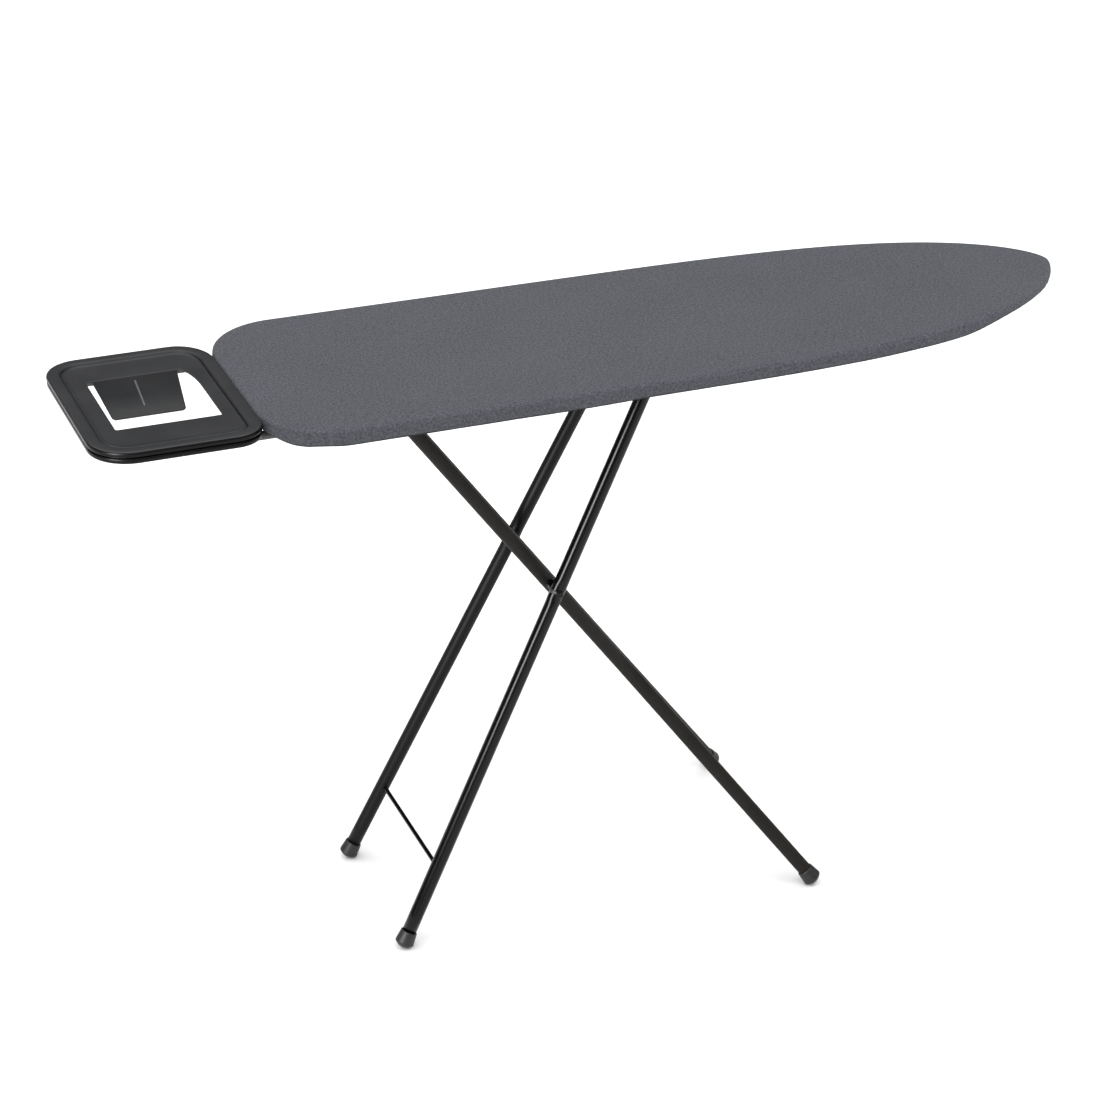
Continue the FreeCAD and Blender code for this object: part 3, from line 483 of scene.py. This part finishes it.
def cover_side(plan, top, depth, pucker):
    """Loops over the edge roll and down the side, which puckers towards the hem."""
    loops = []
    for angle in np.radians([12, 26, 40, 54, 68, 80]):
        inset = EDGE_ROLL * (1 - math.sin(angle)) + SIDE_INSET
        drop = 0.3 * MM + EDGE_ROLL * (1 - math.cos(angle))
        loops.append(at_height(drawn_in(plan, inset), top - drop))
    for share in (0.2, 0.4, 0.6, 0.8, 1.0):
        drop = EDGE_ROLL + (depth - EDGE_ROLL - HEM_ROLL) * share
        hollow = 0.3 * MM * math.sin(math.pi * share)
        inset = SIDE_INSET + pucker * share ** 2 - hollow
        loops.append(at_height(drawn_in(plan, inset), top - drop))
    return loops


def cover_hem(plan, top, depth, pucker, gather):
    """Loops round the hem and in below the rim, with the gathers growing inwards."""
    loops = []
    for angle in np.radians([35, 70, 110, 150]):
        inset = SIDE_INSET + HEM_ROLL * (1 - math.cos(angle)) + pucker
        drop = depth - HEM_ROLL + HEM_ROLL * math.sin(angle) + 0.3 * MM * gather
        loops.append(at_height(drawn_in(plan, inset), top - drop))
    for inset, lift, wave in ((6.5, 0.5, 0.45), (9, 0.9, 0.65), (11.5, 1.4, 0.9), (14, 2.0, 1.05),
                              (16.5, 2.6, 1.1)):
        drop = np.maximum(depth - lift * MM, HEM_LOWEST) + wave * MM * gather
        loops.append(at_height(drawn_in(plan, inset * MM), top - drop))
    return loops


def cover_loops():
    """All loops of the cover, from its middle line out, down and in to the gathered hem."""
    outline = board_outline(EDGE_COUNT)
    plan = outline - inward_normals(outline) * COVER_PROUD
    top = TOP_Z + COVER_LIFT
    depth = skirt_depth(plan)
    gather = ripple(plan, 11 * MM, 3.0)
    pucker = 0.5 * MM * gather + 0.6 * MM * ripple(plan, 60 * MM, 8.0)
    return (cover_top(plan, top) + cover_side(plan, top, depth, pucker)
            + cover_hem(plan, top, depth, pucker, gather))


def fabric_cover():
    """The gathered cover: one sheet with its hem drawn in under the rim."""
    points, faces = loft(cover_loops(), False)
    piece = mesh_piece("gathered_cotton_cover", points, faces, COTTON)
    # Painted shade: the hem roll's rows take the dark colour.
    piece.data.materials.append(HEM_PAINTED_SHADE)
    for face in list(piece.data.polygons)[SHADED_HEM_ROWS[0] * EDGE_COUNT:SHADED_HEM_ROWS[1] * EDGE_COUNT]:
        face.material_index = 1
    weld(piece)
    thickness = piece.modifiers.new("cloth_thickness", "SOLIDIFY")
    thickness.thickness = 0.8 * MM
    thickness.offset = -1
    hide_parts("fabric_cover")


def felt_pad():
    """Felt pad on the deck, a little thinner at its cut edge."""
    low, high = corners("foam_pad")
    plan = board_outline(360)
    middle = spine(plan)
    core = drawn_in(plan, 14 * MM)
    shares = (0.0, 0.35, 0.7, 1.0)
    loops = [at_height(middle + (core - middle) * share, high[2]) for share in shares]
    for inset, drop in ((9.5, 0.1), (7, 0.5), (6, 1.2)):
        loops.append(at_height(drawn_in(plan, inset * MM), high[2] - drop * MM))
    loops.append(at_height(drawn_in(plan, 5.4 * MM), (low[2] + high[2]) / 2))
    loops.append(at_height(drawn_in(plan, 6.2 * MM), low[2] + 0.3 * MM))
    loops.append(at_height(drawn_in(plan, 8 * MM), low[2]))
    loops += [at_height(middle + (core - middle) * share, low[2]) for share in shares[::-1]]
    points, faces = loft(loops, False)
    piece = mesh_piece("needled_felt_pad", points, faces, FELT)
    weld(piece)
    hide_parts("foam_pad")


# ---------------------------------------------------------------- iron rest

REST_LOW, REST_HIGH = corners("iron_rest_top")
REST_CENTRE = (REST_LOW[:2] + REST_HIGH[:2]) / 2
REST_HALF = (REST_HIGH[:2] - REST_LOW[:2]) / 2
REST_TOP = REST_HIGH[2]
REST_PROUD = 1.6 * MM
# Face rows of the upper moulding in the darker copy of the plastic, as painted shade: its outer wall,
# and the groove's floor.
SHADED_WALL_ROWS = ((0, 8), (16, 17))


def rounded_loop(centre, half, radii, corner_steps=14, side_steps=10):
    """Plan points round a rectangle with elliptical corners, anticlockwise from the near left.

    radii holds one (x, y) pair per corner.  Every loop has the same count of points.
    """
    signs = [(-1, -1), (1, -1), (1, 1), (-1, 1)]
    arcs = []
    for (sign_x, sign_y), (radius_x, radius_y) in zip(signs, radii):
        start = {(-1, -1): math.pi, (1, -1): 1.5 * math.pi, (1, 1): 0, (-1, 1): 0.5 * math.pi}
        angle = start[(sign_x, sign_y)] + np.linspace(0, math.pi / 2, corner_steps)
        hub = np.array([centre[0] + sign_x * (half[0] - radius_x),
                        centre[1] + sign_y * (half[1] - radius_y)])
        arcs.append(hub + np.column_stack([radius_x * np.cos(angle), radius_y * np.sin(angle)]))
    loop = []
    for index, arc in enumerate(arcs):
        following = arcs[(index + 1) % len(arcs)][0]
        share = np.linspace(0, 1, side_steps + 2)[1:-1, None]
        loop += [arc, arc[-1] + (following - arc[-1]) * share]
    return np.concatenate(loop)


def rest_loop(inset):
    """The iron rest's outline drawn in by an inset; its four corners differ a little."""
    radii = [(max(radius_x * MM - inset, 20 * MM), max(radius_y * MM - inset, 20 * MM))
             for radius_x, radius_y in ((56, 56), (40, 40), (50, 60), (48, 48))]
    return rounded_loop(REST_CENTRE, REST_HALF + REST_PROUD - inset, radii)


def opening_loop():
    """The opening: small corners, and a long sweep at the far right one."""
    low = REST_CENTRE + np.array([-67.0, -78.8]) * MM
    high = REST_CENTRE + np.array([72.4, 83.0]) * MM
    small = (3 * MM, 3 * MM)
    return rounded_loop((low + high) / 2, (high - low) / 2, [small, small, (16 * MM, 62 * MM), small])


def rest_moulding():
    """Upper moulding: rolled lip, raised band, groove, sunk panel and the opening's edge."""
    panel = rest_loop(23 * MM)
    opening = opening_loop()
    loops = []
    band = [(20, -7.5), (9, -7.5), (2.2, -7.5), (0.7, -7.4), (0.1, -6.7), (0, -5.5), (0, -3.6),
            (0.3, -2.2), (1.1, -1.1), (2.5, -0.4), (4.6, -0.05), (8.5, 0), (13, -0.1),
            (15.6, -0.35), (17.0, -1.0), (17.8, -2.2), (18.3, -3.5), (19.2, -4.1), (20.1, -3.7),
            (20.7, -2.7), (21.4, -2.05), (22.2, -2.05), (22.8, -2.5)]
    for inset, height in band:
        loops.append(at_height(rest_loop(inset * MM), REST_TOP + height * MM))
    for share, height in ((0.0, -2.7), (0.12, -2.8), (0.5, -2.85), (0.9, -2.85), (0.975, -2.95),
                          (0.995, -3.2), (1.0, -3.7), (1.0, -4.9), (0.98, -5.2), (0.9, -5.2),
                          (0.5, -5.2), (0.1, -5.2)):
        loops.append(at_height(panel + (opening - panel) * share, REST_TOP + height * MM))
    loops.append(at_height(rest_loop(21.5 * MM), REST_TOP - 5.3 * MM))
    points, faces = loft(loops, True)
    piece = mesh_piece("iron_rest_moulding", points, faces, REST_PLASTIC)
    # Painted shade: the outer wall and the groove's floor take the darker copy of the plastic.
    piece.data.materials.append(SHADED_WALL_PLASTIC)
    for first, last in SHADED_WALL_ROWS:
        for face in list(piece.data.polygons)[first * len(panel):last * len(panel)]:
            face.material_index = 1
    weld(piece)
    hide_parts("iron_rest_top")


def cuboid(low, high):
    """Points and faces of a box between two corners."""
    points = [(x, y, z) for x in (low[0], high[0]) for y in (low[1], high[1])
              for z in (low[2], high[2])]
    faces = [(0, 1, 3, 2), (4, 6, 7, 5), (0, 4, 5, 1), (2, 3, 7, 6), (0, 2, 6, 4), (1, 5, 7, 3)]
    return points, faces


def rest_base():
    """Lower moulding: a ring set back below a shadow groove, with a lug over each screw."""
    ring_low = REST_TOP - 17 * MM
    profile = [(4.0, 9.4), (3.4, 9.2), (3.4, 7.7), (2.6, 7.5), (1.4, 7.3), (0.7, 6.6), (0.5, 5.2),
               (0.5, 3.0), (0.9, 1.4), (2.0, 0.4), (3.6, 0), (8, -0.1), (12.6, 0), (14.2, 0.3),
               (14.8, 1.2), (15, 5), (15, 9.4)]
    loops = [at_height(rest_loop(inset * MM), ring_low + height * MM) for inset, height in profile]
    points, faces = loft(loops, True)
    points = [tuple(point) for point in points]
    lug_half = 7 * MM
    for side, arm in ((-1, "front_rest_arm"), (1, "rear_rest_arm")):
        arm_low, arm_high = corners(arm)
        for along in (-1, 1):
            x = REST_CENTRE[0] + along * 62 * MM
            inner = arm_high[1] if side < 0 else arm_low[1]
            ys = sorted((inner, side * (REST_HALF[1] - 12 * MM)))
            beam = cuboid((x - lug_half, ys[0], ring_low + 0.4 * MM),
                          (x + lug_half, ys[1], ring_low + 9.4 * MM))
            foot = cuboid((x - lug_half, arm_low[1], arm_high[2]),
                          (x + lug_half, arm_high[1], ring_low + 0.6 * MM))
            for lug_points, lug_faces in (beam, foot):
                start = len(points)
                points += lug_points
                faces += [tuple(start + index for index in face) for face in lug_faces]
    # Painted shade: the whole lower moulding takes the darker copy of the plastic.
    piece = mesh_piece("iron_rest_underframe", points, faces, SHADED_WALL_PLASTIC)
    bevel = piece.modifiers.new("moulded_edges", "BEVEL")
    bevel.width = 0.8 * MM
    bevel.segments = 3
    bevel.limit_method = "ANGLE"
    bevel.angle_limit = math.radians(50)
    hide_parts("iron_rest_base")


HEEL_SLOPE = math.radians(18)
HEEL_ALONG = np.array([0, -math.cos(HEEL_SLOPE), -math.sin(HEEL_SLOPE)])
HEEL_UPWARD = np.array([0, -math.sin(HEEL_SLOPE), math.cos(HEEL_SLOPE)])
HEEL_HALF, HEEL_TIP_HALF = 57 * MM, 49.2 * MM
HEEL_LENGTH, HEEL_THICK = 78 * MM, 2.5 * MM
HEEL_EDGE, HEEL_CORNER = 0.9 * MM, 3.5 * MM
RIB_HALF, RIB_HEIGHT, RIB_SHIFT = 1.7 * MM, 1.9 * MM, -2 * MM


def heel_slab(root):
    """Points and faces of the tapered slab, with eased edges."""
    profile = [(HEEL_EDGE, 0), (0.25 * HEEL_EDGE, -0.25 * HEEL_EDGE), (0, -HEEL_EDGE),
               (0, HEEL_EDGE - HEEL_THICK), (0.25 * HEEL_EDGE, 0.25 * HEEL_EDGE - HEEL_THICK),
               (HEEL_EDGE, -HEEL_THICK)]
    loops = []
    for inset, height in profile:
        tip = HEEL_LENGTH - inset
        tip_half = HEEL_TIP_HALF - inset
        half = HEEL_HALF - inset
        sides = [(-half, 0), (-tip_half, tip - HEEL_CORNER), (-tip_half + HEEL_CORNER, tip),
                 (tip_half - HEEL_CORNER, tip), (tip_half, tip - HEEL_CORNER), (half, 0)]
        loops.append(np.array([root + np.array([x, 0, 0]) + HEEL_ALONG * run + HEEL_UPWARD * height
                               for x, run in sides]))
    points, faces = loft(loops, False)
    outline = len(loops[0])
    faces.append(tuple(range(outline)))
    faces.append(tuple(range(len(points) - outline, len(points)))[::-1])
    return [tuple(point) for point in points], faces


def heel_rib(root, start):
    """Points and faces of the half-round rib; its points are numbered from start."""
    angles = np.linspace(0, math.pi, 9)
    count = len(angles)
    points = []
    faces = []
    stations = [(8, 0.1), (9, 0.8), (11, 1), (56, 1), (59, 0.8), (60.5, 0.1)]
    for run, size in stations:
        for angle in angles:
            offset = np.array([RIB_SHIFT - RIB_HALF * size * math.cos(angle), 0, 0])
            lift = RIB_HEIGHT * size * math.sin(angle) - 0.2 * MM
            points.append(tuple(root + offset + HEEL_ALONG * run * MM + HEEL_UPWARD * lift))
    for row in range(len(stations) - 1):
        under = start + row * count
        for first in range(under, under + count - 1):
            faces.append((first, first + 1, first + 1 + count, first + count))
        faces.append((under, under + count, under + 2 * count - 1, under + count - 1))
    end = start + len(points)
    faces.append(tuple(range(start, start + count)))
    faces.append(tuple(range(end - count, end)))
    return points, faces


def heel_plate():
    """Plate that slopes down from the opening's far edge, with rounded edges and one round rib."""
    low, high = corners("heel_plate")
    root = np.array([(low[0] + high[0]) / 2, REST_CENTRE[1] + 82.5 * MM, REST_TOP - 3.4 * MM])
    points, faces = heel_slab(root)
    rib_start = len(points)
    rib_points, rib_faces = heel_rib(root, rib_start)
    # Painted shade: the plate takes the darker copy of the plastic.
    piece = mesh_piece("heel_plate_moulding", points + rib_points, faces + rib_faces, SHADED_HEEL_PLASTIC)
    # Painted highlight: the rib's faces take the much lighter copy of the plastic.
    piece.data.materials.append(HIGHLIGHT_RIB_PLASTIC)
    for face in piece.data.polygons:
        face.material_index = int(min(face.vertices) >= rib_start)
    weld(piece)
    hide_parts("heel_plate")


# ---------------------------------------------------------------- outer legs and their pivots

TUBE_RADIUS = 10 * MM
CROSSING = sum(corners("front_crossing_rivet")) / 2
PRESSED_DEPTH = 0.8 * MM
PRESSED_SPREAD = 0.5 * MM
TURN_STEPS = 40


def tube_ends(node, side):
    """Low and high end centres of a straight tube, from its box."""
    low, high = corners(node)
    if side > 0:
        low[1], high[1] = high[1], low[1]
    reach = np.zeros(3)
    for _ in range(4):
        start = low + reach * (1, -side, 1)
        end = high - reach * (1, -side, 1)
        along = (end - start) / np.linalg.norm(end - start)
        reach = TUBE_RADIUS * np.sqrt(1 - along ** 2)
    return start, end, along


def outer_leg(name, side):
    """Outer leg: a round tube pressed flat where the rivet goes through."""
    start, end, along = tube_ends("outer_%s_leg" % name, side)
    length = np.linalg.norm(end - start)
    pivot = (CROSSING[2] - start[2]) / along[2]
    depth_way = np.array([0, 1, 0]) - along * along[1]
    depth_way /= np.linalg.norm(depth_way)
    width_way = np.cross(along, depth_way)
    near = pivot + np.linspace(-26, 26, 27) * MM
    stations = np.unique(np.concatenate([np.linspace(0, length, 25), near]))
    stations = stations[stations <= length]
    angles = np.linspace(0, 2 * math.pi, 48, endpoint=False)
    loops = []
    for station in stations:
        pressed = 1 - smooth_step(abs(station - pivot), 7 * MM, 22 * MM)
        across = (TUBE_RADIUS + PRESSED_SPREAD * pressed) * np.cos(angles)
        deep = TUBE_RADIUS * np.sin(angles)
        outer_face = side * np.sin(angles) > 0
        deep[outer_face] *= 1 - PRESSED_DEPTH / TUBE_RADIUS * pressed
        loops.append(start + along * station + np.outer(across, width_way) + np.outer(deep, depth_way))
    points, faces = loft(loops, False)
    finish = OUTER_ENAMEL if side < 0 else REAR_ENAMEL
    piece = mesh_piece("outer_%s_tube" % name, points, faces, finish, "outer_frame")
    weld(piece)
    wall = piece.modifiers.new("tube_wall", "SOLIDIFY")
    wall.thickness = 1.1 * MM
    wall.offset = -1
    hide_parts("outer_%s_leg" % name)
    saddle(name, side, start, along, pivot)
    return start[1] + along[1] * pivot


def turned_about_y(name, x, z, profile, material, body, replaced):
    """A turned piece on an axis along Y: profile is (radius, y) pairs."""
    angles = np.linspace(0, 2 * math.pi, TURN_STEPS, endpoint=False)
    loops = []
    for radius, y in profile:
        radius = max(radius, 0.02 * MM)
        loops.append(np.column_stack([x + radius * np.cos(angles), np.full(TURN_STEPS, y),
                                      z + radius * np.sin(angles)]))
    points, faces = loft(loops, False)
    piece = mesh_piece(name, points, faces, material, body)
    weld(piece)
    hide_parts(replaced)


def saddle(name, side, start, along, pivot):
    """Steel saddle washer that hugs the outer tube, from its inner side round to the left."""
    depth_way = -side * (np.array([0, 1, 0]) - along * along[1])
    depth_way /= np.linalg.norm(depth_way)
    left_way = -side * np.cross(along, depth_way)
    left_way *= -np.sign(left_way[0])
    angles = np.radians(np.linspace(-40, 150, 40))
    section = [(10.15, -3.1), (10.15, 3.1), (10.4, 3.4), (10.8, 3.4), (11.0, 3.1), (11.0, -3.1),
               (10.8, -3.4), (10.4, -3.4)]
    centre = start + along * pivot
    loops = []
    for radius, shift in section:
        taper = np.clip((angles - math.radians(60)) / math.radians(68), 0, 1)
        place = shift * MM * (1 - 0.35 * taper ** 2)
        around = np.outer(np.cos(angles), depth_way) + np.outer(np.sin(angles), left_way)
        loops.append(centre + around * radius * MM + np.outer(place, along))
    count = len(angles)
    points = np.concatenate(loops)
    faces = []
    for row in range(len(loops)):
        after = (row + 1) % len(loops)
        for index in range(count - 1):
            faces.append((row * count + index, row * count + index + 1,
                          after * count + index + 1, after * count + index))
    for end in (0, count - 1):
        faces.append([row * count + end for row in range(len(loops))])
    piece = mesh_piece("%s_saddle_washer" % name, points, faces, SHEET_STEEL, "outer_frame")
    weld(piece)


def crossing(name, side):
    """Rivet with low domed heads and a black flanged spacer, between the legs of one side."""
    leg_y = abs(outer_leg(name, side))
    face = leg_y + TUBE_RADIUS - PRESSED_DEPTH
    low, high = corners("%s_crossing_rivet" % name)
    inner = min(abs(low[1]), abs(high[1]))
    x, z = CROSSING[0], CROSSING[2]
    profile = [(radius * MM, side * y) for radius, y in
               [(0, inner), (4.6, inner + 0.1 * MM), (5.7, inner + 0.7 * MM), (6, inner + 1.6 * MM),
                (3, inner + 1.8 * MM), (3, face + 0.1 * MM), (6.2, face + 0.2 * MM),
                (6.0, face + 0.9 * MM), (4.8, face + 1.6 * MM), (2.8, face + 2.0 * MM),
                (0, face + 2.2 * MM)]]
    turned_about_y("%s_pivot_rivet" % name, x, z, profile, OUTER_ENAMEL, "inner_frame",
                   "%s_crossing_rivet" % name)
    start = 63.5 * MM
    end = leg_y - TUBE_RADIUS + PRESSED_DEPTH - 3.3 * MM
    sleeve = [(3.1, start), (6.4, start), (7.0, start + 0.6 * MM), (7.0, start + 1.6 * MM),
              (5.6, start + 2.4 * MM), (5.4, (start + end) / 2), (5.6, end - 2.2 * MM),
              (6.6, end - 1.4 * MM), (6.6, end - 0.5 * MM), (6.2, end), (3.1, end)]
    sleeve.append(sleeve[0])
    turned_about_y("%s_flanged_spacer" % name, x, z, [(radius * MM, side * y) for radius, y in sleeve],
                   OUTER_ENAMEL, "inner_frame", "%s_crossing_spacer" % name)


# ---------------------------------------------------------------- CAD nodes


def paint(material, nodes):
    """Give CAD nodes a material."""
    for node in nodes:
        slots = cad(node).data.materials
        if not slots:
            slots.append(material)
        for index in range(len(slots)):
            slots[index] = material


def paint_cad_nodes():
    """Materials for every CAD node that stays."""
    sides = ("front", "rear")
    paint(OUTER_ENAMEL, ["outer_cross_wire", "outer_top_bar"])
    paint(INNER_ENAMEL, ["inner_%s_leg" % side for side in sides]
          + ["inner_cross_wire", "inner_hinge_tube"])
    paint(FOOT_PLASTIC, ["outer_%s_foot" % side for side in sides]
          + ["inner_%s_foot" % side for side in sides] + ["bar_end_caps"])
    paint(ZINC, ["top_hinge_pin"])
    paint(OUTER_ENAMEL, ["rest_screws", "arm_screws"])
    paint(SHEET_STEEL, ["deck_pan", "left_cross_rib", "middle_cross_rib", "nose_cross_rib"]
          + ["%s_hinge_bracket" % side for side in sides]
          + ["%s_height_rail" % side for side in sides] + ["%s_rest_arm" % side for side in sides])


# ---------------------------------------------------------------- studio


def camera():
    """A long lens at the left front, a little above the board."""
    azimuth = math.radians(-21.01)
    elevation = math.radians(26.32)
    right = Vector((math.cos(azimuth), math.sin(azimuth), 0))
    back = Vector((math.sin(azimuth) * math.cos(elevation),
                   -math.cos(azimuth) * math.cos(elevation), math.sin(elevation)))
    up = back.cross(right)
    data = bpy.data.cameras.new("camera")
    data.sensor_width = 36
    data.lens = 102.25
    data.clip_end = 60
    view = bpy.data.objects.new("camera", data)
    turn = Matrix((right, up, back)).transposed().to_4x4()
    view.matrix_world = Matrix.Translation((-1.4433, -3.629, 2.436)) @ turn
    bpy.context.scene.collection.objects.link(view)
    bpy.context.scene.camera = view


def area_light(name, place, target, size, power, upright=(0, 0, 1)):
    """A rectangular soft light at a place, aimed at a target, its long side along upright."""
    data = bpy.data.lights.new(name, "AREA")
    data.shape = "RECTANGLE"
    data.size, data.size_y = size
    data.energy = power
    lamp = bpy.data.objects.new(name, data)
    back = (Vector(place) - Vector(target)).normalized()
    side = Vector(upright).cross(back).normalized()
    turn = Matrix((side, back.cross(side), back)).transposed().to_4x4()
    lamp.matrix_world = Matrix.Translation(place) @ turn
    bpy.context.scene.collection.objects.link(lamp)
    return lamp


def floor():
    """A plain pale floor."""
    mesh = bpy.data.meshes.new("floor")
    reach = 30
    mesh.from_pydata([(-reach, -reach, 0), (reach, -reach, 0), (reach, reach, 0), (-reach, reach, 0)],
                     [], [(0, 1, 2, 3)])
    material, *_, shader = new_material("pale_floor")
    shader.inputs["Base Color"].default_value = (0.92, 0.92, 0.92, 1)
    shader.inputs["Roughness"].default_value = 0.9
    shader.inputs["Specular IOR Level"].default_value = 0.0
    mesh.materials.append(material)
    plane = bpy.data.objects.new("floor", mesh)
    bpy.context.scene.collection.objects.link(plane)


def studio():
    """Soft daylight from above, a gloss-only strip at the left and a weaker strip at the right."""
    world = bpy.data.worlds.new("studio")
    world.use_nodes = True
    background = world.node_tree.nodes["Background"]
    background.inputs["Color"].default_value = (1, 1, 1, 1)
    background.inputs["Strength"].default_value = 0.55
    world.cycles_visibility.glossy = False
    bpy.context.scene.world = world
    bpy.context.scene.view_settings.view_transform = "Standard"
    sun = bpy.data.lights.new("soft_top_light", "SUN")
    sun.energy = 3.6
    sun.angle = math.radians(100)
    lamp = bpy.data.objects.new("soft_top_light", sun)
    lamp.rotation_euler = (math.radians(10), math.radians(-12), 0)
    bpy.context.scene.collection.objects.link(lamp)
    strip = area_light("left_strip", (-1.78, -0.98, 1.04), (0, -0.09, 0.64), (0.60, 0.80), 46,
                       upright=(0.4465, 0, 0.8948))
    strip.visible_diffuse = False
    area_light("right_strip", (2.6, -1.2, 0.9), (0, 0, 0.5), (0.25, 1.6), 8)
    floor()


camera()
fabric_cover()
felt_pad()
rest_moulding()
rest_base()
crossing("front", -1)
crossing("rear", 1)
heel_plate()
paint_cad_nodes()
studio()
